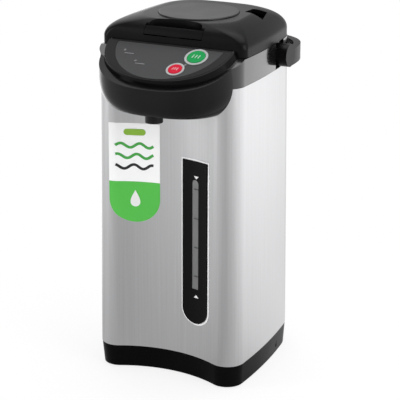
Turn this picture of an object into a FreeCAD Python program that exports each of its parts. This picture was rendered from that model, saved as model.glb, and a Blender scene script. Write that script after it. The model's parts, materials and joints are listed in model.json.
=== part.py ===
import FreeCAD, Part
import math
import os

os.makedirs("parts", exist_ok=True)

V = FreeCAD.Vector

# All sizes in millimetres. X to the right, front toward -Y, Z up, floor at Z 0.

# Plan outline of the body: four corner points before rounding and the sag of each side
FRONT_HALF, FRONT_Y = 82.1, -88.1
REAR_HALF, REAR_Y = 76.1, 96.1
FRONT_SAG = 29.2
SIDE_SAG = 6.7
REAR_SAG = 7.0
FRONT_RAD = 20.0
REAR_RAD = 46.0
TAPER = 0.03

# Heights
FLOOR_GAP = 2.0
BASE_TOP = 27.4
SHELL_TOP = 339.6
SEAM = 368.7
LID_BOTTOM = 369.3
LID_CREASE = 378.0
TOTAL = 400.0

# Walls
SHELL_WALL = 1.2
WALL = 3.0
GAP = 0.3

# Inner pot
POT_Y = 21.5
POT_R = 73.5
POT_WALL = 0.8
POT_FLOOR = 47.0
POT_RIM = 340.5
FLANGE_R = 76.8
NECK_R = 76.5

# Head
NOSE_Y = -50.0
PANEL_Y, PANEL_Z = -52.5, 377.4
PANEL_ANGLE = 26.33
PANEL_HALF, PANEL_DEPTH = 72.5, 60.8
PEDESTAL_DROP = 7.5
PANEL_T = 2.5

SPOUT_Y, SPOUT_R = -96.0, 9.5

# Lid
PLATE_Y, PLATE_R = 11.0, 44.0
HINGE_Y, HINGE_Z = 97.0, 374.5

# Handle
PIVOT_Y, PIVOT_Z = 40.0, 354.0
HANDLE_IN_A, HANDLE_IN_B = 88.5, 71.5
HANDLE_OUT_A, HANDLE_OUT_B = 95.5, 79.5
ARM_TOP = 359.0
HANDLE_H = 25.0
PIN_R = 4.0

# Water level gauge
GAUGE_X = 33.0
GAUGE_HALF = 16.8
GAUGE_LOW, GAUGE_TOP = 84.5, 254.3
SLOT_HALF, SLOT_LOW, SLOT_TOP = 4.6, 108.0, 229.0


def save(shape, name):
    # each part of the assembly goes to a file of its own
    shape.exportStep("parts/" + name + ".step")


def sharp_plan(hf, yf, hr, yr, sf, ss, sr, z):
    # closed outline of four arcs that meet at the corner points
    a, b, c, d = V(-hf, yf, z), V(hf, yf, z), V(hr, yr, z), V(-hr, yr, z)
    side = (b + c).multiply(0.5)
    off = V(c.y - b.y, b.x - c.x, 0).normalize().multiply(ss)
    ms = side + off
    return [
        Part.Arc(a, V(0, yf + sf, z), b).toShape(),
        Part.Arc(b, ms, c).toShape(),
        Part.Arc(c, V(0, yr + sr, z), d).toShape(),
        Part.Arc(d, V(-ms.x, ms.y, z), a).toShape(),
    ]


def plan_wire(hf, yf, hr, yr, sf, ss, sr, rf, rr, z):
    # the same outline with rounded corners
    face = Part.Face(Part.Wire(sharp_plan(hf, yf, hr, yr, sf, ss, sr, z)))
    block = face.extrude(V(0, 0, 1))
    for radius, sign in ((rf, -1), (rr, 1)):
        near = yf if sign < 0 else yr
        picked = []
        for edge in block.Edges:
            p, q = edge.Vertexes[0].Point, edge.Vertexes[-1].Point
            if abs(p.x - q.x) < 0.01 and abs(p.y - q.y) < 0.01 and abs(p.y - near) < 0.01:
                picked.append(edge)
        block = block.makeFillet(radius, picked)
    for f in block.Faces:
        if f.BoundBox.ZMax < z + 0.01:
            return f.OuterWire
    return None


def body_wire(z, inset=0.0):
    # body outline at height z, a little wider toward the floor
    s = 1.0 + TAPER * max(0.0, SHELL_TOP - z) / (SHELL_TOP - BASE_TOP)
    t = inset
    return plan_wire(
        FRONT_HALF * s - t,
        FRONT_Y * s + 1.97 * t,
        REAR_HALF * s - t,
        REAR_Y * s - 0.85 * t,
        FRONT_SAG * s - 0.97 * t,
        SIDE_SAG * s,
        REAR_SAG * s - 0.15 * t,
        FRONT_RAD - 0.6 * t,
        REAR_RAD - t,
        z,
    )


def body_solid(z0, z1, inset0=0.0, inset1=None):
    inset1 = inset0 if inset1 is None else inset1
    return Part.makeLoft([body_wire(z0, inset0), body_wire(z1, inset1)], True, True)


def lid_wire(z, inset=0.0):
    t = inset
    return plan_wire(
        84.7 - t,
        -54.0 + 0.55 * t,
        REAR_HALF - 0.6 - t,
        REAR_Y - 1.0 - 0.9 * t,
        -0.1,
        5.0,
        REAR_SAG - 0.1 * t,
        8.0 + 0.8 * t,
        REAR_RAD - 0.5 * t,
        z,
    )


def cyl(r, z0, z1, x=0.0, y=0.0):
    return Part.makeCylinder(r, z1 - z0, V(x, y, z0))


def rod(r, p, q):
    axis = V(*q) - V(*p)
    return Part.makeCylinder(r, axis.Length, V(*p), axis)


def box(x0, x1, y0, y1, z0, z1):
    return Part.makeBox(x1 - x0, y1 - y0, z1 - z0, V(x0, y0, z0))


def tube(outer, inner, z0, z1, x=0.0, y=0.0):
    return cyl(outer, z0, z1, x, y).cut(cyl(inner, z0 - 1, z1 + 1, x, y))


def fuse(items):
    out = items[0]
    for it in items[1:]:
        out = out.fuse(it)
    return out


def oval_wire(cx, cy, z, a, b, n, count=28):
    # closed smooth superellipse
    pts = []
    for i in range(count):
        t = 2 * math.pi * i / count
        c, s = math.cos(t), math.sin(t)
        x = a * math.copysign(abs(c) ** (2.0 / n), c)
        y = b * math.copysign(abs(s) ** (2.0 / n), s)
        pts.append(V(cx + x, cy + y, z))
    curve = Part.BSplineCurve()
    curve.interpolate(pts, True)
    return Part.Wire([curve.toShape()])


def oval_solid(cx, cy, z0, z1, a, b, n):
    return Part.Face(oval_wire(cx, cy, z0, a, b, n)).extrude(V(0, 0, z1 - z0))


def on_panel(shape):
    # carries a shape drawn flat at Z 0 onto the sloping panel plane
    out = shape.copy()
    out.rotate(V(0, 0, 0), V(1, 0, 0), PANEL_ANGLE)
    out.translate(V(0, PANEL_Y, PANEL_Z))
    return out


def on_gauge(shape):
    # carries a shape drawn at the middle front onto the curved front beside it
    out = shape.copy()
    out.rotate(V(0, 0, 0), V(0, 0, 1), -16.0)
    out.translate(V(GAUGE_X, -63.5, 0))
    return out


def pipe(points, r_out, r_in, bend):
    # round pipe through the given points with rounded bends
    def sweep(r):
        segs = []
        prev = V(*points[0])
        for i in range(1, len(points) - 1):
            p = V(*points[i])
            a = (V(*points[i - 1]) - p).normalize()
            b = (V(*points[i + 1]) - p).normalize()
            half = a.getAngle(b) / 2.0
            cut_back = bend / math.tan(half)
            s, e = p + a * cut_back, p + b * cut_back
            mid_dir = (a + b).normalize()
            centre = p + mid_dir * (bend / math.sin(half))
            m = centre - mid_dir * bend
            segs.append(Part.makeLine(prev, s))
            segs.append(Part.Arc(s, m, e).toShape())
            prev = e
        segs.append(Part.makeLine(prev, V(*points[-1])))
        path = Part.Wire(segs)
        start = V(*points[0])
        direction = V(*points[1]) - start
        ring = Part.Wire([Part.makeCircle(r, start, direction)])
        return path.makePipeShell([ring], True, True)

    solid = sweep(r_out)
    if r_in > 0:
        solid = solid.cut(sweep(r_in))
    return solid


def helix_spring(radius, wire, z0, z1, turns, x=0.0, y=0.0):
    # coil of six-sided wire, built face by face
    per_turn, sides = 14, 6
    count = per_turn * turns
    rise = z1 - z0 - 2 * wire
    rings = []
    for i in range(count + 1):
        t = 2 * math.pi * i / per_turn
        out = V(math.cos(t), math.sin(t), 0)
        mid = V(x, y, z0 + wire + rise * i / count) + out * radius
        ring = []
        for k in range(sides):
            u = 2 * math.pi * k / sides
            ring.append(mid + out * (wire * math.cos(u)) + V(0, 0, wire * math.sin(u)))
        rings.append(ring)
    faces = []

    def triangle(p, q, r):
        faces.append(Part.Face(Part.makePolygon([p, q, r, p])))

    for i in range(count):
        for k in range(sides):
            n = (k + 1) % sides
            triangle(rings[i][k], rings[i + 1][k], rings[i + 1][n])
            triangle(rings[i][k], rings[i + 1][n], rings[i][n])
    for ring in (rings[0], rings[-1]):
        for k in range(1, sides - 1):
            triangle(ring[0], ring[k], ring[k + 1])
    coil = Part.Solid(Part.makeShell(faces))
    if coil.Volume < 0:
        coil.reverse()
    return coil


# Base ring, the black skirt under the steel body
base = body_solid(FLOOR_GAP, BASE_TOP, 2.2, 0.2)
base = base.cut(body_solid(FLOOR_GAP - 1, BASE_TOP + 1, 5.2, 3.2))
tongue = body_solid(BASE_TOP, BASE_TOP + 6, 1.5, 1.5)
tongue = tongue.cut(body_solid(BASE_TOP - 1, BASE_TOP + 7, 4.4, 4.4))
base = base.fuse(tongue)
inlet_cut = box(-17.0, 17.0, 80, 125, 7.0, 24.0)
base = base.cut(inlet_cut)

# Bottom plate with feet and screws
PLATE_LOW, PLATE_TOP = 3.0, 5.5
bottom = body_solid(PLATE_LOW, PLATE_TOP, 5.4, 5.4)
foot_at = [(-55, -53), (55, -53), (-50, 72), (50, 72)]
screw_at = [(-60, -20), (60, -20), (-58, 40), (58, 40)]
for x, y in screw_at:
    bottom = bottom.cut(cyl(1.7, PLATE_LOW - 1, PLATE_TOP + 1, x, y))
bottom = bottom.fuse(cyl(16.0, 0, PLATE_LOW, 0, 0))
for x, y in [(-12 + 8 * i, 52) for i in range(4)]:
    bottom = bottom.cut(box(x - 1.5, x + 1.5, y - 9, y + 9, PLATE_LOW - 1, PLATE_TOP + 1))
save(bottom, "bottom_plate")
feet = []
for x, y in foot_at:
    pad = cyl(9.0, 0, PLATE_LOW, x, y)
    pad = pad.makeChamfer(0.6, [e for e in pad.Edges if e.BoundBox.ZMax < 0.01])
    feet.append(pad)
for i, pad in enumerate(feet):
    save(pad, "foot_" + str(i + 1))

# Four posts of the base take the screws of the bottom plate
screws = []
for x, y in screw_at:
    post = cyl(4.5, PLATE_TOP, BASE_TOP - 2, x, y)
    far = math.copysign(85.2, x)
    post = post.fuse(box(min(x, far), max(x, far), y - 1.2, y + 1.2, PLATE_TOP + 3, BASE_TOP - 4))
    base = base.fuse(post)
    base = base.cut(cyl(1.55, PLATE_TOP - 1, BASE_TOP - 4, x, y))
    screw = cyl(1.45, PLATE_LOW - 0.4, BASE_TOP - 6, x, y)
    screw = screw.fuse(cyl(3.0, PLATE_LOW - 1.6, PLATE_LOW, x, y))
    screw = screw.cut(box(x - 2.2, x + 2.2, y - 0.4, y + 0.4, PLATE_LOW - 2, PLATE_LOW - 0.9))
    screw = screw.cut(box(x - 0.4, x + 0.4, y - 2.2, y + 2.2, PLATE_LOW - 2, PLATE_LOW - 0.9))
    screws.append(screw)
save(Part.makeCompound(screws), "base_screws")
save(base, "base_ring")

# Steel outer shell with the window for the gauge
shell = body_solid(BASE_TOP, SHELL_TOP)
shell = shell.cut(body_solid(BASE_TOP - 1, SHELL_TOP + 1, SHELL_WALL, SHELL_WALL))


def gauge_prism(grow, y0, y1):
    # window outline with a round bottom and a square top
    w = GAUGE_HALF + grow
    low = cyl(w, 0, y1 - y0)
    low.rotate(V(0, 0, 0), V(1, 0, 0), -90)
    low.translate(V(0, y0, GAUGE_LOW))
    top = box(-w, w, y0, y1, GAUGE_LOW, GAUGE_TOP + grow)
    return on_gauge(low.fuse(top))


shell = shell.cut(gauge_prism(-2.0, -25, 25))
save(shell, "outer_shell")

# Gauge bezel follows the curved front, with a clear lens in its slot
skin_out = body_solid(BASE_TOP, SHELL_TOP, -1.4)
skin_mid = body_solid(BASE_TOP, SHELL_TOP)
skin_in = body_solid(BASE_TOP, SHELL_TOP, 2.6)
bezel = skin_out.cut(skin_mid).common(gauge_prism(0, -25, 25))
bezel = bezel.fuse(skin_out.cut(skin_in).common(gauge_prism(-2.2, -25, 25)))
slot = box(-SLOT_HALF, SLOT_HALF, -25, 25, SLOT_LOW, SLOT_TOP)
arch = cyl(SLOT_HALF, 0, 50)
arch.rotate(V(0, 0, 0), V(1, 0, 0), -90)
arch.translate(V(0, -25, SLOT_TOP))
slot = on_gauge(slot.fuse(arch))
bezel = bezel.cut(slot)
save(bezel, "gauge_bezel")
lens_out = body_solid(BASE_TOP, SHELL_TOP, -0.6)
lens_in = body_solid(BASE_TOP, SHELL_TOP, 1.6)
lens = lens_out.cut(lens_in).common(slot)
save(lens, "gauge_lens")

# Two-colour label on the left of the front, upper and lower half
label_out = body_solid(BASE_TOP, SHELL_TOP, -0.3)
label_skin = label_out.cut(body_solid(BASE_TOP, SHELL_TOP))
upper = box(-67, -12.3, -110, -40, 222.1, 288)
lower = box(-67, -12.3, -110, -40, 203, 222)
drop = cyl(27.35, 0, 70)
drop.rotate(V(0, 0, 0), V(1, 0, 0), -90)
drop.translate(V(-39.65, -110, 203))
lower = lower.fuse(drop.common(box(-90, 0, -110, -40, 170, 203)))
save(label_skin.common(upper), "label_upper")
save(label_skin.common(lower), "label_lower")

# Inner pot of steel with a flange that hangs in the collar
pot = cyl(POT_R + POT_WALL, POT_FLOOR - POT_WALL, POT_RIM, 0, POT_Y)
pot = pot.makeFillet(8.0, [e for e in pot.Edges if e.BoundBox.ZMax < POT_FLOOR])
hollow = cyl(POT_R, POT_FLOOR, POT_RIM + 1, 0, POT_Y)
hollow = hollow.makeFillet(7.3, [e for e in hollow.Edges if e.BoundBox.ZMax < POT_FLOOR + 0.1])
pot = pot.cut(hollow)
pot = pot.fuse(tube(FLANGE_R, POT_R, POT_RIM, POT_RIM + 1.0, 0, POT_Y))
OUTLET = (-33.0, -18.0)
pot = pot.cut(cyl(6.0, POT_FLOOR - 2, POT_FLOOR + 1, *OUTLET))
save(pot, "inner_pot")
posts = []
for a in (60, 180, 300):
    px, py = 66 * math.cos(math.radians(a)), POT_Y + 66 * math.sin(math.radians(a))
    posts.append(cyl(4.0, PLATE_TOP, POT_FLOOR - POT_WALL, px, py))
save(Part.makeCompound(posts), "pot_posts")

# Outlet strainer sits on the pot floor
strainer = tube(9.0, 6.5, POT_FLOOR, POT_FLOOR + 1.2, *OUTLET)
dome = Part.makeSphere(8.0, V(OUTLET[0], OUTLET[1], POT_FLOOR))
dome = dome.cut(Part.makeSphere(7.2, V(OUTLET[0], OUTLET[1], POT_FLOOR)))
dome = dome.common(cyl(10, POT_FLOOR, POT_FLOOR + 9, *OUTLET))
for i in range(6):
    a = math.radians(60 * i)
    dome = dome.cut(
        rod(1.1, (OUTLET[0], OUTLET[1], POT_FLOOR + 3.6),
            (OUTLET[0] + 9 * math.cos(a), OUTLET[1] + 9 * math.sin(a), POT_FLOOR + 4.2))
    )
strainer = strainer.fuse(dome)
save(strainer, "outlet_strainer")

# Heater plate under the pot, with its clamp, thermostat and fuse
HEAT_TOP = POT_FLOOR - POT_WALL
heater = cyl(60.0, HEAT_TOP - 4.0, HEAT_TOP, 0, POT_Y)
heater = heater.cut(cyl(14.0, HEAT_TOP - 5, HEAT_TOP + 1, *OUTLET))
save(heater, "heater_plate")
clamp = box(-66, 66, POT_Y + 24, POT_Y + 40, HEAT_TOP - 5.5, HEAT_TOP - 4)
save(clamp, "heater_clamp")
thermostat = cyl(9.0, HEAT_TOP - 14.0, HEAT_TOP - 4.0, 8, POT_Y)
for sx in (-1, 1):
    thermostat = thermostat.fuse(box(8 + sx * 5 - 1, 8 + sx * 5 + 1, POT_Y - 2.5, POT_Y + 2.5,
                                     HEAT_TOP - 20, HEAT_TOP - 13))
save(thermostat, "thermostat")
fuse_link = rod(2.5, (22, POT_Y - 14, HEAT_TOP - 6.5), (42, POT_Y - 14, HEAT_TOP - 6.5))
fuse_link = fuse_link.fuse(rod(0.8, (14, POT_Y - 14, HEAT_TOP - 6.5), (50, POT_Y - 14, HEAT_TOP - 6.5)))
save(fuse_link, "thermal_fuse")

# Pump under the outlet: chamber, impeller, drive magnet and motor
PX, PY = OUTLET
CH_LOW, CH_TOP = 22.0, 34.0
chamber = cyl(17.0, CH_LOW, CH_TOP, PX, PY)
chamber = chamber.fuse(cyl(7.5, CH_TOP - 1, HEAT_TOP + 0.0, PX, PY))
chamber = chamber.fuse(rod(4.6, (PX, PY - 10, 28), (PX, PY - 24, 28)))
chamber = chamber.cut(cyl(14.0, CH_LOW + 2.0, CH_TOP - 2.0, PX, PY))
chamber = chamber.cut(cyl(5.5, CH_TOP - 3, HEAT_TOP + 1, PX, PY))
chamber = chamber.cut(rod(3.0, (PX, PY - 8, 28), (PX, PY - 25, 28)))
axle = cyl(1.2, CH_LOW + 1.5, CH_TOP - 4.5, PX, PY)
chamber = chamber.fuse(axle)
save(chamber, "pump_chamber")
impeller = cyl(11.5, CH_LOW + 2.4, CH_LOW + 5.0, PX, PY)
impeller = impeller.fuse(cyl(3.4, CH_LOW + 2.4, CH_LOW + 9.0, PX, PY))
for i in range(5):
    blade = box(PX + 2.5, PX + 11.3, PY - 0.7, PY + 0.7, CH_LOW + 4.8, CH_LOW + 9.0)
    blade.rotate(V(PX, PY, 0), V(0, 0, 1), 72 * i)
    impeller = impeller.fuse(blade)
impeller = impeller.cut(cyl(1.25, CH_LOW, CH_TOP, PX, PY))
save(impeller, "pump_impeller")
magnet = tube(11.0, 1.0, CH_LOW - 6.4, CH_LOW - 0.4, PX, PY)
magnet = magnet.cut(tube(12, 8.5, CH_LOW - 1.6, CH_LOW, PX, PY).common(box(PX - 12, PX + 12, PY - 1, PY + 1, 0, 60)))
magnet = magnet.fuse(cyl(1.0, CH_LOW - 8.5, CH_LOW - 0.6, PX, PY))
save(magnet, "drive_magnet")
motor = cyl(13.0, 7.5, CH_LOW - 8.6, PX, PY)
motor = motor.fuse(cyl(4.0, CH_LOW - 8.7, CH_LOW - 7.0, PX, PY))
motor = motor.cut(cyl(1.05, 12.0, CH_LOW, PX, PY))
cup = tube(17.0, 12.2, CH_LOW - 8.6, CH_LOW, PX, PY)
motor = motor.fuse(cyl(17.0, CH_LOW - 9.9, CH_LOW - 8.6, PX, PY).cut(cyl(1.05, 0, 60, PX, PY)))
save(motor, "pump_motor")
save(cup, "motor_cup")
bracket = box(PX - 20, PX + 20, PY - 8, PY + 8, PLATE_TOP, 7.5)
save(bracket, "motor_bracket")

# Boards and the mains inlet
board = box(0, 52, -14, 34, 11.0, 12.6)
for i in range(3):
    board = board.fuse(cyl(4.5, 12.6, 24.0, 12 + 13 * i, 22))
board = board.fuse(box(8, 30, -8, 8, 12.6, 22.0))
for x, y in ((4, -10), (48, -10), (4, 30), (48, 30)):
    board = board.fuse(cyl(2.2, PLATE_TOP, 11.0, x, y))
save(board, "power_board")
inlet = box(-16.8, 16.8, 84, 106.5, 7.2, 23.8)
inlet = inlet.cut(box(-12.0, 12.0, 90, 110, 10.2, 20.8))
pins = []
for x in (-7.0, 0.0, 7.0):
    inlet = inlet.cut(rod(1.5, (x, 80, 15.5), (x, 95, 15.5)))
    pin = rod(1.5, (x, 80, 15.5), (x, 101, 15.5))
    pins.append(pin)
save(Part.makeCompound(pins), "inlet_pins")
save(inlet, "power_inlet")

# Nose of the head: lofted outline that narrows toward the spout
NOSE = [(310.0, 64.0, 56.5), (316.0, 72.0, 60.0), (327.0, 78.0, 62.0), (344.0, 80.0, 63.0), (384.0, 80.5, 63.0)]


def nose_loft(shrink):
    wires = []
    for i, (z, a, b) in enumerate(NOSE):
        zz = z + shrink if i == 0 else z
        wires.append(oval_wire(0, NOSE_Y, zz, a - shrink, b - shrink, 2.45))
    return Part.makeLoft(wires, True, False)


def under_plane(drop):
    # a big block whose top is the panel plane lowered by the given amount
    b = on_panel(box(-150, 150, -120, 170, -300, 0))
    b.translate(V(0, 0, -drop))
    return b


# Collar ring that carries the lid, the pot neck and the handle pivots
collar = body_solid(SHELL_TOP, SEAM).common(under_plane(PEDESTAL_DROP))
inner = body_solid(SHELL_TOP - 1, SEAM - WALL, WALL).common(under_plane(PEDESTAL_DROP + WALL))
neck = cyl(NECK_R, POT_RIM + 1.0, SEAM, 0, POT_Y)
collar = collar.cut(inner.cut(neck)).cut(cyl(NECK_R - 2.0, SHELL_TOP - 1, SEAM + 1, 0, POT_Y))
collar = collar.cut(cyl(FLANGE_R + 0.3, SHELL_TOP - 1, POT_RIM + 1.0, 0, POT_Y))
tube_hole = rod(6.0, (-36.3, -49.8, 354.9), (-6.6, -87.6, 337.8))
collar = collar.cut(tube_hole)
POCKET_X, POCKET_Y0, POCKET_Y1 = 79.5, 27.0, 53.0
for sx in (-1, 1):
    lo, hi = min(sx * (POCKET_X - 2.5), sx * 92), max(sx * (POCKET_X - 2.5), sx * 92)
    block = box(lo, hi, POCKET_Y0 - 2, POCKET_Y1 + 2, SHELL_TOP, SEAM)
    collar = collar.fuse(block.common(body_solid(SHELL_TOP, SEAM)))
    lo, hi = min(sx * POCKET_X, sx * 95), max(sx * POCKET_X, sx * 95)
    collar = collar.cut(box(lo, hi, POCKET_Y0, POCKET_Y1, SHELL_TOP - 1, SEAM + 1))
    collar = collar.cut(rod(PIN_R + 0.05, (sx * 70, PIVOT_Y, PIVOT_Z), (sx * 95, PIVOT_Y, PIVOT_Z)))
save(collar, "collar")

# Nose housing with the spout chamber, split from its lower cover
SPLIT = 324.0
nose = nose_loft(0.0).common(under_plane(PEDESTAL_DROP))
nose = nose.cut(body_solid(290, SEAM + 20))
nose_in = nose_loft(WALL).common(under_plane(PEDESTAL_DROP + WALL))
nose_in = nose_in.cut(body_solid(290, SEAM + 20, -WALL))
nose = nose.cut(nose_in)
nose = nose.cut(body_solid(290, SHELL_TOP, -GAP))
nose = nose.cut(box(-120, 120, -54.5, 60, 300, 420))
nose_top = nose.common(box(-120, 120, -140, 0, SPLIT, 420)).cut(tube_hole)
nose_low = nose.common(box(-120, 120, -140, 0, 300, SPLIT))
nose_low = nose_low.cut(cyl(SPOUT_R + 0.05, 300, 320, 0, SPOUT_Y))
save(nose_top, "nose_housing")
save(nose_low, "nose_cover")

# Panel frame on the sloping top, with the control panel let into it
FRAME_DEEP = PEDESTAL_DROP * math.cos(math.radians(PANEL_ANGLE))


def panel_oval(a, b, n, z0, z1):
    return on_panel(Part.Face(oval_wire(0, 0, z0, a, b, n)).extrude(V(0, 0, z1 - z0)))


behind = box(-120, 120, -54.6, 90, 300, 420)
frame = Part.makeLoft(
    [
        oval_wire(0, 0, -FRAME_DEEP, PANEL_HALF + 4.2, PANEL_DEPTH + 2.6, 2.25),
        oval_wire(0, 0, 0, PANEL_HALF + 1.6, PANEL_DEPTH + 1.3, 2.25),
    ],
    True,
    True,
)
frame = on_panel(frame).cut(behind)
frame = frame.cut(panel_oval(PANEL_HALF, PANEL_DEPTH, 2.2, -PANEL_T, 9))
frame = frame.cut(panel_oval(66.0, 54.0, 2.2, -FRAME_DEEP - 1, 9).cut(box(-120, 120, -58.5, 90, 300, 420)))
frame = frame.cut(box(-9, 9, -58.0, -50, 366.0, 372.6))
save(frame, "panel_frame")
BUTTONS = {"dispense": (36.2, -18.7, 12.7, 9.9), "reheat": (21.7, -41.2, 9.9, 7.5)}
LEDS = {"left": (-47.4, -19.6), "right": (-27.8, -34.9)}
panel = panel_oval(PANEL_HALF, PANEL_DEPTH, 2.2, -PANEL_T, 0).cut(behind)
rings = []
lights = []
board2 = on_panel(box(-24, 40, -44, -12, -6.4, -5.0))
for name, (bx, by, ring_r, cap_r) in BUTTONS.items():
    panel = panel.cut(on_panel(cyl(cap_r + 0.3, -4, 1, bx, by)))
    ring = tube(ring_r, cap_r + 0.3, 0, 0.7, bx, by)
    rings.append(on_panel(ring))
    cap = cyl(cap_r, -2.4, 1.2, bx, by)
    cap = cap.makeFillet(0.5, [e for e in cap.Edges if e.BoundBox.ZMin > 1.1])
    cap = cap.fuse(cyl(1.6, -3.0, -2.4, bx, by))
    save(on_panel(cap), name + "_button")
    board2 = board2.fuse(on_panel(cyl(2.6, -5.0, -4.4, bx, by)))
for name, (lx, ly) in LEDS.items():
    panel = panel.cut(on_panel(cyl(1.6, -4, 1, lx, ly)))
    lights.append(on_panel(cyl(1.6, -2.5, 0.4, lx, ly)))
save(Part.makeCompound(rings), "button_rings")
save(Part.makeCompound(lights), "indicator_lenses")
save(panel, "control_panel")
board2 = board2.cut(behind)
save(board2, "control_board")

# Spout and the riser tube that feeds it, and the gauge tube with its hose
spout = tube(SPOUT_R, 5.0, 302.0, 309.0 + WALL, 0, SPOUT_Y)
spout = spout.fuse(tube(SPOUT_R, 5.0, 308.0 + WALL, 312.0 + WALL, 0, SPOUT_Y))
save(spout, "spout")
riser = pipe(
    [(-33, -42.2, 28), (-33, -54, 28), (-33, -54, 353), (0, SPOUT_Y, 334), (0, SPOUT_Y, 306)], 4.4, 3.2, 6.0
)
save(riser, "riser_tube")
save(tube(4.0, 2.8, 46, 334, GAUGE_X, -54), "gauge_tube")
save(pipe([(GAUGE_X, -54, 46), (GAUGE_X, -54, 40), (-28.5, -54, 40)], 3.9, 2.6, 5.5), "gauge_hose")
save(tube(5.2, 4.05, 325, 335.5, GAUGE_X, -54), "gauge_cap")

# Lid: straight side, then a low dome
DOME = [(LID_CREASE, 0.0), (383.0, 1.3), (388.0, 4.8), (392.5, 11.0), (396.3, 20.5), (398.6, 32.0)]


def lid_hull(shrink, drop, low):
    side = Part.makeLoft([lid_wire(low, shrink), lid_wire(LID_CREASE - drop, shrink)], True, True)
    dome = Part.makeLoft([lid_wire(z - drop, t + shrink) for z, t in DOME], True, False)
    return side.fuse(dome)


hull = lid_hull(0.0, 0.0, LID_BOTTOM)
cavity = lid_hull(WALL, 3.4, LID_BOTTOM - 1)
lid = hull.cut(cavity)
well = cyl(PLATE_R + 2.8, 371.9, 399, 0, PLATE_Y).common(hull)
lid = lid.fuse(well)
lid = lid.cut(cyl(PLATE_R + 0.5, 371, 401, 0, PLATE_Y))
LATCH_Y, LATCH_Z = -49.5, 386.5
pocket_block = box(-37.5, 37.5, -58, -31, 380.4, 400).common(hull).cut(cyl(PLATE_R + 0.5, 371, 401, 0, PLATE_Y))
lid = lid.fuse(pocket_block)
lid = lid.cut(box(-34.5, 34.5, -60, -45.0, 383.0, 401))
arch_cut = oval_solid(0, -45.2, 383.0, 401, 31.0, 11.0, 2.0)
lid = lid.cut(arch_cut)
lid = lid.cut(rod(1.5, (-36.6, LATCH_Y, LATCH_Z), (36.6, LATCH_Y, LATCH_Z)))
lid = lid.cut(box(-9.5, 9.5, -60, -44, 368, 376)).cut(box(-9.5, 9.5, -52.3, -44, 375, 384))
VENT = [(44, 34), (46, 51), (62, 54), (70, 24)]


def vent_block(grow, z0, z1):
    cx = sum(p[0] for p in VENT) / 4.0
    cy = sum(p[1] for p in VENT) / 4.0
    pts = []
    for x, y in VENT:
        d = V(x - cx, y - cy, 0)
        d = d * ((d.Length + grow) / d.Length)
        pts.append(V(cx + d.x, cy + d.y, z0))
    pts.append(pts[0])
    return Part.Face(Part.makePolygon(pts)).extrude(V(0, 0, z1 - z0))


lid = lid.cut(vent_block(0, 380, 402))
# Room for the hinge at the rear
lid = lid.cut(box(-120, 120, 93.0, 120, 360, HINGE_Z))
lid = lid.cut(box(-19, 19, 88, 120, 360, HINGE_Z + 6))
for sx in (-1, 1):
    lo, hi = min(sx * 19, sx * 31), max(sx * 19, sx * 31)
    knuckle = rod(3.4, (lo, HINGE_Y, HINGE_Z), (hi, HINGE_Y, HINGE_Z))
    knuckle = knuckle.fuse(box(lo, hi, 90.5, HINGE_Y + 3.0, HINGE_Z, HINGE_Z + 4.5))
    lid = lid.fuse(knuckle)
lid = lid.cut(rod(2.0, (-32, HINGE_Y, HINGE_Z), (32, HINGE_Y, HINGE_Z)))
save(lid, "lid_cover")

# Steam vent insert with slots
vent = vent_block(-0.05, 386.0, 389.5)
for i in range(5):
    vent = vent.cut(box(48 + 4 * i, 50 + 4 * i, 32, 48, 385, 390))
save(vent, "steam_vent")

# Inner lid with the plug that enters the neck, and its seal
inner_lid = Part.makeLoft([lid_wire(LID_BOTTOM, 3.2), lid_wire(371.8, 3.2)], True, True)
inner_lid = inner_lid.cut(box(-120, 120, 90.0, 120, 360, 380)).cut(box(-10, 10, -60, -44.5, 360, 380))
PLUG_R, PLUG_LOW = 72.0, 352.0
plug = cyl(PLUG_R, PLUG_LOW, 370.0, 0, POT_Y)
plug = plug.makeFillet(3.0, [e for e in plug.Edges if e.BoundBox.ZMax < PLUG_LOW + 0.1])
inner_lid = inner_lid.fuse(plug)
inner_lid = inner_lid.cut(cyl(PLUG_R - 2.0, PLUG_LOW + 2.0, 373, 0, POT_Y))
inner_lid = inner_lid.cut(box(-10, 10, -60, -44.5, 366.5, 380))
for i in range(6):
    a = math.radians(30 + 60 * i)
    inner_lid = inner_lid.cut(cyl(2.0, PLUG_LOW - 1, PLUG_LOW + 3, 55 * math.cos(a), POT_Y + 55 * math.sin(a)))
save(inner_lid, "lid_inner")
save(tube(PLUG_R + 1.9, PLUG_R, 362.5, 365.5, 0, POT_Y), "lid_gasket")

# Latch bar with its hook, on a pin
bar = hull.common(box(-34.0, 34.0, -53.8, -45.6, 384.2, 400)).cut(box(-40, 40, -60, -40, 392.3, 401))
hook = box(-8, 8, -51.8, -49.4, 370.4, 386.0)
hook = hook.fuse(box(-8, 8, -56.6, -51.6, 370.4, 372.2))
bar = bar.fuse(hook).cut(rod(1.56, (-36, LATCH_Y, LATCH_Z), (36, LATCH_Y, LATCH_Z)))
save(bar, "latch_bar")
save(rod(1.5, (-36.6, LATCH_Y, LATCH_Z), (36.6, LATCH_Y, LATCH_Z)), "latch_pin")

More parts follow.
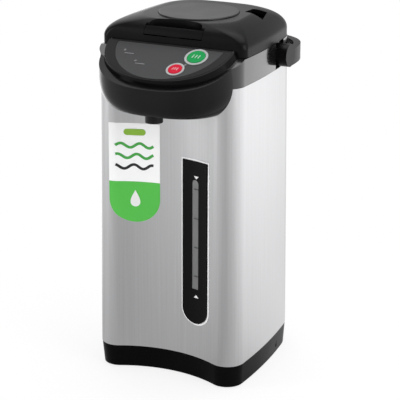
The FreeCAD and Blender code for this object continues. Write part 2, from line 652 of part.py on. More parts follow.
# Press plate with the air pump bellows and spring below it
plate = cyl(PLATE_R, TOTAL - 3.6, TOTAL, 0, PLATE_Y)
plate = plate.makeFillet(1.0, [e for e in plate.Edges if e.BoundBox.ZMin > TOTAL - 0.1])
plate = plate.fuse(tube(PLATE_R, PLATE_R - 2.0, 391.0, 396.4, 0, PLATE_Y))
plate = plate.fuse(tube(10.0, 8.0, 388.0, 396.4, 0, PLATE_Y))
save(plate, "press_plate")
outline = []
BELLOW_LOW, BELLOW_TOP, FOLDS = PLUG_LOW + 2.0, 396.4, 7
step = (BELLOW_TOP - BELLOW_LOW) / (2.0 * FOLDS)
for i in range(2 * FOLDS + 1):
    r = 33.0 if i % 2 == 0 else 26.0
    outline.append(V(r, 0, BELLOW_LOW + step * i))
back = [V(p.x - 1.0, 0, p.z) for p in reversed(outline)]
face = Part.Face(Part.makePolygon(outline + back + [outline[0]]))
bellows = face.revolve(V(0, 0, 0), V(0, 0, 1), 360)
bellows.translate(V(0, PLATE_Y, 0))
save(bellows, "bellows")
save(helix_spring(15.0, 0.9, BELLOW_LOW, BELLOW_TOP, 7, 0, PLATE_Y), "pump_spring")
save(cyl(7.0, BELLOW_LOW, BELLOW_LOW + 4.0, 0, PLATE_Y).cut(cyl(2.0, 300, 400, 0, PLATE_Y)), "air_valve")

# Rear hinge bracket and pin
bracket = rod(3.4, (-18.5, HINGE_Y, HINGE_Z), (18.5, HINGE_Y, HINGE_Z))
bracket = bracket.fuse(box(-18.5, 18.5, HINGE_Y - 3.4, HINGE_Y + 3.4, SEAM, HINGE_Z))
bracket = bracket.cut(rod(2.03, (-32, HINGE_Y, HINGE_Z), (32, HINGE_Y, HINGE_Z)))
save(bracket, "hinge_bracket")
save(rod(2.0, (-31, HINGE_Y, HINGE_Z), (31, HINGE_Y, HINGE_Z)), "hinge_pin")

# Carrying handle, a bail stowed round the rear of the head
z0, z1 = PIVOT_Z - HANDLE_H / 2.0, PIVOT_Z + HANDLE_H / 2.0
bail = oval_solid(0, PIVOT_Y, z0, ARM_TOP, HANDLE_OUT_A, HANDLE_OUT_B, 3.0)
bail = bail.cut(oval_solid(0, PIVOT_Y, z0 - 1, ARM_TOP + 1, HANDLE_IN_A, HANDLE_IN_B, 3.0))
bail = bail.common(box(-120, 120, PIVOT_Y, 200, 300, 420))
for sx in (-1, 1):
    boss = rod(HANDLE_H / 2.0, (sx * (POCKET_X + 0.5), PIVOT_Y, PIVOT_Z), (sx * (HANDLE_OUT_A + 1.0), PIVOT_Y, PIVOT_Z))
    bail = bail.fuse(boss)
for sx in (-1, 1):
    pin_a, pin_b = (sx * 75.5, PIVOT_Y, PIVOT_Z), (sx * 92.0, PIVOT_Y, PIVOT_Z)
    bail = bail.cut(rod(PIN_R, (sx * 70, PIVOT_Y, PIVOT_Z), pin_b))
    save(rod(PIN_R, pin_a, pin_b), "handle_pin_" + ("right" if sx > 0 else "left"))
save(bail, "handle")
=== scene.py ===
import bpy
import json
import math
from mathutils import Matrix, Vector


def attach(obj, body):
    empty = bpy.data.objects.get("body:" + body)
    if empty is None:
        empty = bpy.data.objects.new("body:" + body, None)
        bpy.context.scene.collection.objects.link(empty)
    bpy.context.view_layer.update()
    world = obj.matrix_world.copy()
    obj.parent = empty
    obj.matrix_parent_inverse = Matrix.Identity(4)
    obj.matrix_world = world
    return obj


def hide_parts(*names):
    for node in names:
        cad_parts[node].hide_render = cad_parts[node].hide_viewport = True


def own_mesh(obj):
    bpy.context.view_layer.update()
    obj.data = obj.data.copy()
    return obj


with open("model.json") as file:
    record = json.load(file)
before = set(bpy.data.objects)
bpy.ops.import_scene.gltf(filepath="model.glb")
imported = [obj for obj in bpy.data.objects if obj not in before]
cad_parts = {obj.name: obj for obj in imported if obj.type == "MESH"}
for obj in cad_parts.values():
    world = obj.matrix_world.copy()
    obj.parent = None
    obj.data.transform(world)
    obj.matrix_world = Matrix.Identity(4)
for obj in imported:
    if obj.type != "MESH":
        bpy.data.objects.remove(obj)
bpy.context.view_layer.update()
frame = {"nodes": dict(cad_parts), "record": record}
nodes = frame["nodes"]
slot_of = {part["node"]: part["material_slot"] for part in frame["record"]["subparts"]}
scene = bpy.context.scene

MM_PER_METRE = 1000.0

# Sizes of the body in millimetres, the same as in the part's source
FRONT_HALF, FRONT_Y, FRONT_SAG = 82.1, -88.1, 29.2
SHELL_TOP, BASE_TOP, TAPER = 339.6, 27.4, 0.03
PANEL_Y, PANEL_Z = -52.5, 377.4
PANEL_ANGLE = math.radians(26.33)


# Shader nodes


def set_inputs(tree, node, inputs):
    # an input is linked where it is given another node's output, and otherwise set to the value
    for socket, value in inputs.items():
        if isinstance(value, bpy.types.NodeSocket):
            tree.links.new(value, node.inputs[socket])
        else:
            node.inputs[socket].default_value = value


def add_node(tree, kind, inputs):
    node = tree.nodes.new(kind)
    set_inputs(tree, node, inputs)
    return node


def calculate(tree, operation, first, second, clamp=False):
    node = add_node(tree, "ShaderNodeMath", {0: first, 1: second})
    node.operation = operation
    node.use_clamp = clamp
    return node.outputs[0]


def map_range(tree, value, source, target):
    inputs = {"Value": value, "From Min": source[0], "From Max": source[1]}
    inputs.update({"To Min": target[0], "To Max": target[1]})
    return add_node(tree, "ShaderNodeMapRange", inputs).outputs["Result"]


def noise(tree, vector, scale, detail, roughness=0.5):
    inputs = {"Vector": vector, "Scale": scale, "Detail": detail, "Roughness": roughness}
    return add_node(tree, "ShaderNodeTexNoise", inputs).outputs["Fac"]


def two_tones(tree, share, low, high):
    # low and high are each a place on the ramp and the colour there
    node = add_node(tree, "ShaderNodeValToRGB", {"Fac": share})
    for element, (position, color) in zip(node.color_ramp.elements, (low, high)):
        element.position = position
        element.color = (*color, 1)
    return node.outputs["Color"]


def relief(tree, height, strength, depth):
    inputs = {"Height": height, "Strength": strength, "Distance": depth}
    return add_node(tree, "ShaderNodeBump", inputs).outputs["Normal"]


def shade(color, factor):
    return [min(1.0, part * factor) for part in color]


# Materials

SMUDGE_SCALE, SMUDGE_LOW, SMUDGE_HIGH, SMUDGE_GLOSS = 14.0, 0.3, 0.7, 0.06
SMOOTHEST, ROUGHEST, COAT_ROUGHNESS = 0.02, 1.0, 0.08
GRAIN_DEPTH = 0.0004
STREAK_LOW, STREAK_HIGH, STREAK_DARK, STREAK_LIGHT = 0.25, 0.75, 0.94, 1.05
STREAK_GLOSSY, STREAK_DULL = 0.05, 0.07
STREAK_BUMP, STREAK_DEPTH = 0.03, 0.0002


def new_material(name):
    material = bpy.data.materials.new(name)
    material.use_nodes = True
    tree = material.node_tree
    place = add_node(tree, "ShaderNodeTexCoord", {}).outputs["Object"]
    return material, tree, tree.nodes["Principled BSDF"], place


def plastic(name, color, rough, vary, grain, bump, coat=0.0, spec=0.5, alpha=1.0):
    # moulded plastic: fine grain, faint smudges in the gloss and slight colour drift
    material, tree, shader, place = new_material(name)
    smudges = noise(tree, place, SMUDGE_SCALE, detail=4.0)
    dark, light = shade(color, 1 - vary), shade(color, 1 + vary)
    gloss = (max(SMOOTHEST, rough - SMUDGE_GLOSS), min(ROUGHEST, rough + SMUDGE_GLOSS))
    set_inputs(tree, shader, {
        "Base Color": two_tones(tree, smudges, (SMUDGE_LOW, dark), (SMUDGE_HIGH, light)),
        "Roughness": map_range(tree, smudges, (SMUDGE_LOW, SMUDGE_HIGH), gloss),
        "Normal": relief(tree, noise(tree, place, grain, detail=2.0), bump, GRAIN_DEPTH),
        "Coat Weight": coat,
        "Coat Roughness": COAT_ROUGHNESS,
        "Specular IOR Level": spec,
        "Alpha": alpha,
    })
    return material


def brushed(name, color, rough, streaks):
    # brushed metal: long fine streaks drive the roughness, tone and relief
    material, tree, shader, place = new_material(name)
    stretched = add_node(tree, "ShaderNodeMapping", {"Vector": place, "Scale": streaks}).outputs["Vector"]
    tone = noise(tree, stretched, 1.0, detail=6.0, roughness=0.6)
    dark, light = shade(color, STREAK_DARK), shade(color, STREAK_LIGHT)
    set_inputs(tree, shader, {
        "Base Color": two_tones(tree, tone, (STREAK_LOW, dark), (STREAK_HIGH, light)),
        "Roughness": map_range(tree, tone, (0.0, 1.0), (rough - STREAK_GLOSSY, rough + STREAK_DULL)),
        "Normal": relief(tree, tone, STREAK_BUMP, STREAK_DEPTH),
        "Metallic": 1.0,
    })
    return material


# Black plastics, the rubber of the feet and the drive magnet
BLACKS = dict(
    black_satin=dict(color=(0.005, 0.005, 0.0055), rough=0.34, vary=0.2, grain=1100, bump=0.05, spec=0.2),
    black_mirror=dict(color=(0.006, 0.006, 0.0065), rough=0.16, vary=0.15, grain=600, bump=0.01, coat=0.9),
    base_black=dict(color=(0.002, 0.002, 0.0022), rough=0.3, vary=0.2, grain=1000, bump=0.04, spec=0.05),
    bezel_black=dict(color=(0.0022, 0.0022, 0.0025), rough=0.25, vary=0.15, grain=700, bump=0.01, spec=0.1),
    rim_black=dict(color=(0.0022, 0.0022, 0.0024), rough=0.18, vary=0.15, grain=700, bump=0.01, spec=0.12),
    lid_black=dict(color=(0.0035, 0.0035, 0.004), rough=0.28, vary=0.2, grain=1100, bump=0.04, spec=0.1),
    nose_black=dict(color=(0.003, 0.003, 0.0035), rough=0.2, vary=0.2, grain=700, bump=0.015, spec=0.22),
    plate_black=dict(color=(0.012, 0.012, 0.0125), rough=0.36, vary=0.15, grain=1100, bump=0.05, spec=0.34),
    rubber_black=dict(color=(0.016, 0.016, 0.016), rough=0.7, vary=0.25, grain=1400, bump=0.12),
    magnet=dict(color=(0.06, 0.06, 0.06), rough=0.55, vary=0.25, grain=1500, bump=0.1),
)
# The panel, buttons, lenses, gauge tube, the bead's painted highlight, boards and pale pieces inside
PLASTICS = dict(
    panel_grey=dict(color=(0.024, 0.0245, 0.026), rough=0.5, vary=0.12, grain=1500, bump=0.05, spec=0.28),
    button_green=dict(color=(0.002, 0.235, 0.055), rough=0.35, vary=0.12, grain=900, bump=0.02, spec=0.08),
    button_red=dict(color=(0.47, 0.003, 0.024), rough=0.35, vary=0.12, grain=900, bump=0.02, spec=0.08),
    ring_white=dict(color=(0.3, 0.31, 0.31), rough=0.3, vary=0.08, grain=900, bump=0.02),
    led_clear=dict(color=(0.09, 0.09, 0.093), rough=0.15, vary=0.1, grain=900, bump=0.01),
    clear_lens=dict(color=(0.16, 0.16, 0.163), rough=0.12, vary=0.1, grain=500, bump=0.01, coat=0.3),
    clear_tube=dict(color=(0.75, 0.8, 0.85), rough=0.05, vary=0.08, grain=600, bump=0.01, alpha=0.45),
    silicone=dict(color=(0.68, 0.68, 0.66), rough=0.5, vary=0.06, grain=900, bump=0.05),
    white_plastic=dict(color=(0.72, 0.72, 0.7), rough=0.45, vary=0.05, grain=1200, bump=0.05),
    circuit=dict(color=(0.02, 0.16, 0.05), rough=0.4, vary=0.3, grain=400, bump=0.1),
    # the gauge bead's near white is a painted highlight on the pressed edge of the steel
    bead_painted_highlight=dict(color=(0.86, 0.86, 0.87), rough=0.3, vary=0.04, grain=900, bump=0.01),
)
# The label's two faces and the printed marks
PRINTS = dict(
    label_white=dict(color=(0.93, 0.93, 0.93), rough=0.35, vary=0.03, grain=800, bump=0.01),
    label_green=dict(color=(0.075, 0.5, 0.058), rough=0.35, vary=0.04, grain=800, bump=0.01),
    print_white=dict(color=(0.8, 0.8, 0.8), rough=0.4, vary=0.03, grain=900, bump=0.01),
    print_green=dict(color=(0.045, 0.36, 0.05), rough=0.4, vary=0.05, grain=900, bump=0.01),
    print_black=dict(color=(0.012, 0.012, 0.012), rough=0.4, vary=0.05, grain=900, bump=0.01),
    print_lime=dict(color=(0.24, 0.46, 0.03), rough=0.4, vary=0.05, grain=900, bump=0.01),
    print_grey=dict(color=(0.14, 0.14, 0.145), rough=0.4, vary=0.05, grain=900, bump=0.01),
)
# Streaks run along the axis whose scale is small; the spring has none
METALS = dict(
    steel_brushed=dict(color=(0.62, 0.62, 0.63), rough=0.3, streaks=(700, 700, 5)),
    steel_plain=dict(color=(0.58, 0.58, 0.58), rough=0.25, streaks=(60, 900, 900)),
    aluminium=dict(color=(0.66, 0.66, 0.67), rough=0.35, streaks=(40, 700, 700)),
    brass=dict(color=(0.7, 0.5, 0.2), rough=0.25, streaks=(500, 30, 500)),
    spring_steel=dict(color=(0.6, 0.6, 0.6), rough=0.22, streaks=(300, 300, 300)),
)
LOOKS = {name: brushed(name, **look) for name, look in METALS.items()}
for family in (BLACKS, PLASTICS, PRINTS):
    LOOKS.update({name: plastic(name, **look) for name, look in family.items()})


# Finishes of the solids, taken from their slots where OWN_LOOK names none, and soft edges in millimetres

OWN_LOOK = {
    "collar": "black_mirror", "gauge_bezel": "bezel_black", "base_ring": "base_black",
    "panel_frame": "rim_black", "lid_cover": "lid_black", "latch_bar": "lid_black", "handle": "lid_black",
    "press_plate": "plate_black", "nose_housing": "nose_black", "nose_cover": "nose_black",
}
EDGE_WIDTHS = {
    "collar": 0.8, "nose_housing": 1.2, "nose_cover": 1.0, "lid_cover": 0.7, "handle": 2.2, "base_ring": 1.0,
    "gauge_bezel": 0.9, "panel_frame": 0.9, "latch_bar": 0.9, "control_panel": 0.5, "press_plate": 0.6,
    "button_rings": 0.25, "spout": 0.8, "steam_vent": 0.3, "outer_shell": 0.3, "dispense_button": 0.4,
    "reheat_button": 0.4,
}
EDGE_STEPS, SHARP_ANGLE = 3, math.radians(40)


def soften_edges(piece, width):
    bevel = piece.modifiers.new("soft_edges", "BEVEL")
    bevel.width = width / MM_PER_METRE
    bevel.segments = EDGE_STEPS
    bevel.limit_method = "ANGLE"
    bevel.angle_limit = SHARP_ANGLE
    bevel.use_clamp_overlap = True


def finish_solids():
    for name, piece in nodes.items():
        piece.data.materials.clear()
        piece.data.materials.append(LOOKS[OWN_LOOK.get(name, slot_of[name])])
        if name in EDGE_WIDTHS:
            soften_edges(piece, EDGE_WIDTHS[name])
        for polygon in piece.data.polygons:
            polygon.use_smooth = True


# The air pump's bellows and spring, which fold in the real pot as the plate goes down, copied with meshes of
# their own onto the lid


def add_folding_copy(name):
    source = nodes[name]
    soft = bpy.data.objects.new(name + "_soft", source.data.copy())
    scene.collection.objects.link(soft)
    soft.matrix_world = source.matrix_world.copy()
    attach(soft, "lid")
    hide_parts(name)
    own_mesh(soft)


# Places on the curved front and on the sloping panel, in millimetres


def front_y(x, z):
    # the front is an arc of a circle that grows toward the floor with the body's taper
    grown = 1.0 + TAPER * max(0.0, SHELL_TOP - z) / (SHELL_TOP - BASE_TOP)
    radius = (FRONT_HALF ** 2 + FRONT_SAG ** 2) / (2 * FRONT_SAG)
    return grown * (FRONT_Y + FRONT_SAG - radius + math.sqrt(radius * radius - (x / grown) ** 2))


def on_front(x, z, height):
    return (x, front_y(x, z) - height, z)


def on_panel(x, down, height):
    # down runs along the panel's slope, and height stands square to it
    run, rise = math.cos(PANEL_ANGLE), math.sin(PANEL_ANGLE)
    return (x, PANEL_Y - down * run - height * rise, PANEL_Z - down * rise + height * run)


# Makers of thin printed and fitted pieces, in millimetres; a finish is a look and the record's slot for it

INK = 0.12
WHITE_PRINT = ("print_white", "ring_white")
GREY_PRINT = ("print_grey", "ring_white")
BLACK_PRINT = ("print_black", "black_satin")
GREEN_PRINT = ("print_green", "label_green")
LIME_PRINT = ("print_lime", "label_green")
LABEL_PRINT = ("print_white", "label_white")
# the gauge bead's finish: its near white is a painted highlight
PAINTED_HIGHLIGHT_BEAD = ("bead_painted_highlight", "steel_plain")
GLOSSY_RIM = ("rim_black", "black_gloss")


def add_piece(name, verts, faces, finish, body):
    look, slot = finish
    mesh = bpy.data.meshes.new(name)
    mesh.from_pydata([[part / MM_PER_METRE for part in vert] for vert in verts], [], faces)
    mesh.update()
    mesh.materials.append(LOOKS[look])
    piece = bpy.data.objects.new(name, mesh)
    scene.collection.objects.link(piece)
    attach(piece, body)


def add_band(name, points, width, lift, finish, place, thick=INK, closed=False, body="pot"):
    # a line of a given width along points; place says where two coordinates and a height are
    count = len(points)
    verts = []
    for i, (u, v) in enumerate(points):
        before = points[i - 1] if closed or i > 0 else points[i]
        after = points[(i + 1) % count] if closed or i < count - 1 else points[i]
        du, dv = after[0] - before[0], after[1] - before[1]
        length = math.hypot(du, dv)
        side_u, side_v = -dv / length * width / 2, du / length * width / 2
        for side in (-1, 1):
            for height in (lift, lift + thick):
                verts.append(place(u + side * side_u, v + side * side_v, height))
    faces = []
    for i in range(count if closed else count - 1):
        a, b = 4 * i, 4 * ((i + 1) % count)
        faces.append((a + 1, a + 3, b + 3, b + 1))
        faces.append((a, b, b + 2, a + 2))
        faces.append((a, a + 1, b + 1, b))
        faces.append((a + 2, b + 2, b + 3, a + 3))
    if not closed:
        end = 4 * (count - 1)
        faces.append((0, 2, 3, 1))
        faces.append((end, end + 1, end + 3, end + 2))
    add_piece(name, verts, faces, finish, body)


def add_patch(name, rim, lift, finish, place):
    # a filled shape: its middle, a ring halfway out, the rim, and the rim again where it meets the surface
    count = len(rim)
    mid_u = sum(u for u, v in rim) / count
    mid_v = sum(v for u, v in rim) / count
    face = lift + INK
    verts = [place(mid_u, mid_v, face)]
    verts += [place((u + mid_u) / 2, (v + mid_v) / 2, face) for u, v in rim]
    verts += [place(u, v, face) for u, v in rim]
    verts += [place(u, v, lift) for u, v in rim]
    faces = []
    for i in range(count):
        a, b = 1 + i, 1 + (i + 1) % count
        faces.append((0, a, b))
        faces.append((a, a + count, b + count, b))
        faces.append((a + count, a + 2 * count, b + 2 * count, b + count))
    add_piece(name, verts, faces, finish, "pot")


# Gauge marks on the lens: four ticks between two arrowheads

MARK_X = 34.2
TICK_LEVELS = (123.4, 156.7, 189.8, 223.1)
TICK_HALF, TICK_WIDTH, TICK_LIFT = 3.4, 0.8, 0.95
FULL_LEVEL, LOW_LEVEL = 238.0, 98.5
ARROW_HALF, ARROW_TALL, ARROW_LIFT = 3.2, 3.4, 1.45


def add_gauge_marks():
    for number, level in enumerate(TICK_LEVELS, 1):
        tick = [(MARK_X + side * TICK_HALF, level) for side in (-1, 0, 1)]
        add_band("gauge_tick_%d" % number, tick, TICK_WIDTH, TICK_LIFT, BLACK_PRINT, on_front)
    for name, level, way in (("gauge_full_mark", FULL_LEVEL, -1), ("gauge_low_mark", LOW_LEVEL, 1)):
        arrow = [(MARK_X + side * ARROW_HALF, level) for side in (-1, 1)]
        arrow.append((MARK_X, level + ARROW_TALL * way))
        add_patch(name, arrow, ARROW_LIFT, WHITE_PRINT, on_front)


# Label: a plain bar, wave lines and a drop; nothing is written on it

LABEL_LIFT = 0.36
BAR_LEFT, BAR_RIGHT, BAR_Z, BAR_ROUND, BAR_STEPS = -47.5, -31.5, 278.0, 3.6, 24
WAVES = ((263.0, GREEN_PRINT), (251.0, GREEN_PRINT), (239.0, BLACK_PRINT))
WAVE_LEFT, WAVE_LENGTH, WAVE_RISE, WAVE_WIDTH = -59.5, 40.0, 2.4, 3.0
WAVE_CRESTS, WAVE_STEPS = 2, 32
DROP_X, DROP_Z, DROP_HALF, DROP_TALL = -39.6, 203.0, 7.2, 9.5
DROP_POINT, DROP_STEPS = 1.4, 33


def add_label_bar():
    rim = []
    for k in range(BAR_STEPS):
        turn = 2 * math.pi * k / BAR_STEPS
        end_x = BAR_LEFT if math.cos(turn) < 0 else BAR_RIGHT
        rim.append((end_x + BAR_ROUND * math.cos(turn), BAR_Z + BAR_ROUND * math.sin(turn)))
    add_patch("label_bar", rim, LABEL_LIFT, LIME_PRINT, on_front)


def add_label_waves():
    for k, (level, finish) in enumerate(WAVES):
        wave = []
        for i in range(WAVE_STEPS + 1):
            share = i / WAVE_STEPS
            swing = math.sin(share * WAVE_CRESTS * 2 * math.pi + k)
            wave.append((WAVE_LEFT + WAVE_LENGTH * share, level + WAVE_RISE * swing))
        add_band("label_wave_%d" % (k + 1), wave, WAVE_WIDTH, LABEL_LIFT, finish, on_front)


def add_label_drop():
    # the higher DROP_POINT is, the slimmer the drop's tip
    rim = []
    for i in range(DROP_STEPS):
        turn = 2 * math.pi * i / DROP_STEPS
        half = DROP_HALF * math.sin(turn) * math.sin(turn / 2) ** DROP_POINT
        rim.append((DROP_X + half, DROP_Z + DROP_TALL * math.cos(turn)))
    add_patch("label_drop", rim, LABEL_LIFT, LABEL_PRINT, on_front)


# Bead pressed round the gauge bezel, coloured near white as a painted highlight, straight at the top and
# round at the bottom

BEZEL_X, BEZEL_HALF, BEZEL_ROUND, BEZEL_TOP = 33.0, 17.9, 84.5, 255.4
BEAD_WIDTH, BEAD_LIFT, BEAD_THICK = 1.9, 0.02, 0.4
SIDE_GAP, SIDE_POINTS, ROUND_STEPS = 19.0, 8, 24


def add_gauge_bead():
    levels = [BEZEL_TOP - SIDE_GAP * k for k in range(1, SIDE_POINTS + 1)]
    path = [(BEZEL_X + side * BEZEL_HALF, BEZEL_TOP) for side in (-1, 0, 1)]
    path += [(BEZEL_X + BEZEL_HALF, level) for level in levels]
    for k in range(ROUND_STEPS + 1):
        turn = math.pi * k / ROUND_STEPS
        path.append((BEZEL_X + BEZEL_HALF * math.cos(turn), BEZEL_ROUND - BEZEL_HALF * math.sin(turn)))
    path += [(BEZEL_X - BEZEL_HALF, level) for level in reversed(levels)]
    add_band("gauge_bead", path, BEAD_WIDTH, BEAD_LIFT, PAINTED_HIGHLIGHT_BEAD, on_front, BEAD_THICK, closed=True)


# Black surround of the grey panel face: half width, depth, power and top of its two outlines

SURROUND_OUTER = (72.3, 60.6, 2.2, 2.6)
SURROUND_INNER = (62.5, 59.8, 2.0, 5.6)
SURROUND_LOW, SURROUND_HIGH, SURROUND_STEPS = 0.02, 0.3, 144
PANEL_MIDDLE, PANEL_REACH, HALVINGS = 25.0, 120.0, 40


def outline_point(turn, half, depth, power, top):
    # the outline's place in a direction from the middle of the panel, found by halving
    near, far = 0.0, PANEL_REACH
    for _ in range(HALVINGS):
        radius = (near + far) / 2
        x, down = radius * math.cos(turn), PANEL_MIDDLE + radius * math.sin(turn)
        inside = down > top and (abs(x) / half) ** power + (max(down, 0.0) / depth) ** power < 1.0
        near, far = (radius, far) if inside else (near, radius)
    return near * math.cos(turn), PANEL_MIDDLE + near * math.sin(turn)


def add_panel_surround():
    verts, faces = [], []
    for k in range(SURROUND_STEPS):
        turn = 2 * math.pi * k / SURROUND_STEPS
        outer = outline_point(turn, *SURROUND_OUTER)
        inner = outline_point(turn, *SURROUND_INNER)
        verts += [on_panel(*outer, SURROUND_LOW), on_panel(*outer, SURROUND_HIGH)]
        verts += [on_panel(*inner, SURROUND_HIGH), on_panel(*inner, SURROUND_LOW)]
        a, b = 4 * k, 4 * ((k + 1) % SURROUND_STEPS)
        for i in range(4):
            j = (i + 1) % 4
            faces.append((a + i, b + i, b + j, a + j))
    add_piece("panel_surround", verts, faces, GLOSSY_RIM, "pot")


# Small marks of the control panel: two dashes, a link between the buttons, and three strokes on each button

DASHES = {"panel_mark_a": (-40.5, 24.0), "panel_mark_b": (-21.0, 38.5)}
DASH_HALF, DASH_WIDTH, DASH_LIFT = 5.5, 1.1, 0.05
LINK, LINK_WIDTH, LINK_LIFT = [(28.6, 34.2), (30.2, 30.4)], 1.6, 0.1
STROKES = (
    ("button_drop_mark_%d", "dispense", (36.2, 18.7), 4.6),
    ("button_heat_mark_%d", "reheat", (21.7, 41.2), 3.4),
)
STROKE_GAP, STROKE_RISE, STROKE_SWAY, STROKE_STEPS = 0.75, 0.6, 0.5, 8
STROKE_WIDTH, STROKE_LIFT, STROKE_THICK = 0.36, 1.22, 0.1


def add_panel_marks():
    for name, (x, down) in DASHES.items():
        dash = [(x - DASH_HALF, down), (x + DASH_HALF, down)]
        add_band(name, dash, DASH_WIDTH, DASH_LIFT, GREY_PRINT, on_panel)
    add_band("panel_link", LINK, LINK_WIDTH, LINK_LIFT, GREY_PRINT, on_panel)


def add_stroke(name, body, x, down, size):
    points = []
    for i in range(STROKE_STEPS + 1):
        share = i / STROKE_STEPS
        sway = STROKE_SWAY * math.sin(share * 2 * math.pi)
        points.append((x + sway, down + size * STROKE_RISE * (2 * share - 1)))
    add_band(name, points, STROKE_WIDTH, STROKE_LIFT, WHITE_PRINT, on_panel, STROKE_THICK, body=body)


def add_button_marks():
    for name, body, (x, down), size in STROKES:
        for number, side in enumerate((-1, 0, 1), 1):
            add_stroke(name % number, body, x + side * size * STROKE_GAP, down, size)


# Studio: how bright its walls are by the way they lie from the pot, in degrees, as shiny pieces mirror them

STUDIO = (
    (-180, 0.9), (-165, 0.85), (-150, 0.92), (-120, 0.78), (-105, 0.8), (-85, 0.68), (-70, 0.66), (-52, 0.8),
    (-30, 0.85), (0, 1.1), (30, 1.4), (60, 1.5), (80, 1.2), (98, 0.72), (110, 0.7), (122, 1.9), (150, 2.3),
    (168, 1.1), (180, 0.9),
)
STUDIO_LIGHT = 0.62
WHITE = (1, 1, 1, 1)


def studio_color(tree, toward):
    # brightness of the studio toward a point or a direction
    split = add_node(tree, "ShaderNodeSeparateXYZ", {0: toward})
    turn = calculate(tree, "ARCTAN2", split.outputs["Y"], split.outputs["X"])
    share = map_range(tree, turn, (-math.pi, math.pi), (0.0, 1.0))
    ramp = add_node(tree, "ShaderNodeValToRGB", {"Fac": share})
    elements = ramp.color_ramp.elements
    for element, (_, level) in zip(elements, (STUDIO[0], STUDIO[-1])):
        element.color = (level, level, level, 1)
    for degrees, level in STUDIO[1:-1]:
        elements.new((degrees + 180) / 360.0).color = (level, level, level, 1)
    return ramp.outputs["Color"]


def ray_is(tree, *kinds):
    # 1 for a ray of one of the given kinds and otherwise 0
    path = add_node(tree, "ShaderNodeLightPath", {})
    total = path.outputs[kinds[0]]
    for kind in kinds[1:]:
        total = calculate(tree, "ADD", total, path.outputs[kind], clamp=True)
    return total


def mix_shaders(tree, share, first, second):
    return add_node(tree, "ShaderNodeMixShader", {0: share, 1: first, 2: second}).outputs[0]


def emptied_tree(owner):
    owner.use_nodes = True
    owner.node_tree.nodes.clear()
    return owner.node_tree


# Floor: a shadow near the pot, plain white farther out, and the studio's light in shiny pieces

FLOOR_HALF, FLOOR_GREY = 6, (0.85, 0.85, 0.85, 1)
# Over each reach, in metres from the middle, the white's share or the mirrored strength grows; the weaker
# mirrored light near the pot is painted shade for the pot's shadow on the floor
WHITE_REACH, WHITE_SHARES = (0.12, 0.42), (0.82, 1.0)
MIRROR_REACH, MIRROR_STRENGTHS = (0.1, 1.1), (0.66, 1.0)


def floor_material():
    material = bpy.data.materials.new("floor_white")
    tree = emptied_tree(material)
    place = add_node(tree, "ShaderNodeNewGeometry", {}).outputs["Position"]
    length = add_node(tree, "ShaderNodeVectorMath", {0: place})
    length.operation = "LENGTH"
    away = length.outputs["Value"]
    fade = map_range(tree, away, WHITE_REACH, WHITE_SHARES)
    white_share = calculate(tree, "MULTIPLY", ray_is(tree, "Is Camera Ray"), fade)
    shadowed = add_node(tree, "ShaderNodeBsdfDiffuse", {"Color": FLOOR_GREY}).outputs[0]
    white = add_node(tree, "ShaderNodeEmission", {"Color": WHITE, "Strength": 1.0}).outputs[0]
    # the studio as shiny pieces see it in the floor, dimmed near the pot as painted shade
    mirrored = add_node(tree, "ShaderNodeEmission", {
        "Color": studio_color(tree, place),
        "Strength": map_range(tree, away, MIRROR_REACH, MIRROR_STRENGTHS),
    }).outputs[0]
    seen = mix_shaders(tree, white_share, shadowed, white)
    shiny = ray_is(tree, "Is Glossy Ray", "Is Transmission Ray")
    add_node(tree, "ShaderNodeOutputMaterial", {"Surface": mix_shaders(tree, shiny, seen, mirrored)})
    return material


def add_floor():
    mesh = bpy.data.meshes.new("floor")
    corners = [(x * FLOOR_HALF, y * FLOOR_HALF, 0) for x, y in ((-1, -1), (1, -1), (1, 1), (-1, 1))]
    mesh.from_pydata(corners, [], [(0, 1, 2, 3)])
    mesh.materials.append(floor_material())
    floor = bpy.data.objects.new("floor", mesh)
    scene.collection.objects.link(floor)


# World: white behind the pot for the camera, and the studio's light on it


def add_world():
    world = bpy.data.worlds.new("studio")
    scene.world = world
    tree = emptied_tree(world)
    toward = add_node(tree, "ShaderNodeTexCoord", {}).outputs["Generated"]
    studio = {"Color": studio_color(tree, toward), "Strength": STUDIO_LIGHT}
    lit = add_node(tree, "ShaderNodeBackground", studio).outputs[0]
    white = add_node(tree, "ShaderNodeBackground", {"Color": WHITE}).outputs[0]
    sky = mix_shaders(tree, ray_is(tree, "Is Camera Ray"), lit, white)
    add_node(tree, "ShaderNodeOutputWorld", {"Surface": sky})


# Lamps: place, target and width in metres, and power in watts

LAMP_TALL = 1.8
LAMPS = {
    "key_right": ((2.2, -0.5, 1.2), (0, 0, 0.2), 1.6, 30),
    "fill_left": ((-1.8, -1.6, 1.0), (0, 0, 0.22), 0.7, 20),
    "top_soft": ((0.1, 0.3, 2.2), (0, 0, 0.3), 1.8, 22),
}


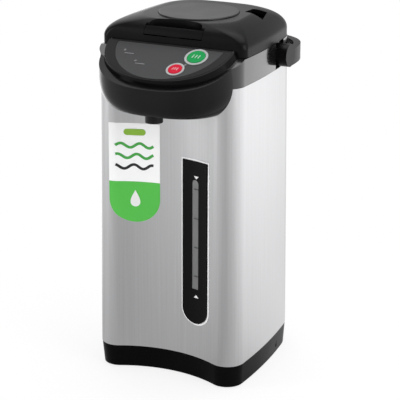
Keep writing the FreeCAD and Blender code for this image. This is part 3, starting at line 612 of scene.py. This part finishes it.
def add_lamp(name, place, target, width, power):
    light = bpy.data.lights.new(name, "AREA")
    light.shape = "RECTANGLE"
    light.size = width
    light.size_y = LAMP_TALL
    light.energy = power
    lamp = bpy.data.objects.new(name, light)
    scene.collection.objects.link(lamp)
    lamp.location = place
    lamp.rotation_euler = (Vector(target) - Vector(place)).to_track_quat("-Z", "Y").to_euler()


# Camera, fitted to the photograph: angles, then metres, then pixels of a frame 400 pixels wide

CAMERA_TURN, CAMERA_TILT = math.radians(26.0), math.radians(18.6)
CAMERA_AWAY, CAMERA_HEIGHT = 1.70054, 0.75892
FOCAL_PIXELS, SIDE_PIXELS, FRAME_PIXELS = 1600.0, 5.6, 400.0
SENSOR_MM, FARTHEST_SEEN = 36.0, 50.0


def add_camera():
    right = Vector((math.cos(CAMERA_TURN), math.sin(CAMERA_TURN), 0))
    ahead = Vector((-math.sin(CAMERA_TURN), math.cos(CAMERA_TURN), 0))
    upright = Vector((0, 0, 1))
    forward = ahead * math.cos(CAMERA_TILT) - upright * math.sin(CAMERA_TILT)
    up = upright * math.cos(CAMERA_TILT) + ahead * math.sin(CAMERA_TILT)
    stand = Matrix((right, up, -forward)).transposed().to_4x4()
    sideways = right * (SIDE_PIXELS * CAMERA_AWAY / FOCAL_PIXELS)
    stand.translation = -ahead * CAMERA_AWAY + upright * CAMERA_HEIGHT + sideways
    data = bpy.data.cameras.new("camera")
    data.sensor_width = SENSOR_MM
    data.lens = FOCAL_PIXELS / FRAME_PIXELS * SENSOR_MM
    data.clip_end = FARTHEST_SEEN
    camera = bpy.data.objects.new("camera", data)
    scene.collection.objects.link(camera)
    camera.matrix_world = stand
    scene.camera = camera


finish_solids()
for name in ("bellows", "pump_spring"):
    add_folding_copy(name)
add_gauge_marks()
add_label_bar()
add_label_waves()
add_label_drop()
add_gauge_bead()
add_panel_surround()
add_panel_marks()
add_button_marks()
add_floor()
add_world()
for name, lamp in LAMPS.items():
    add_lamp(name, *lamp)
add_camera()
scene.view_settings.view_transform = "Standard"
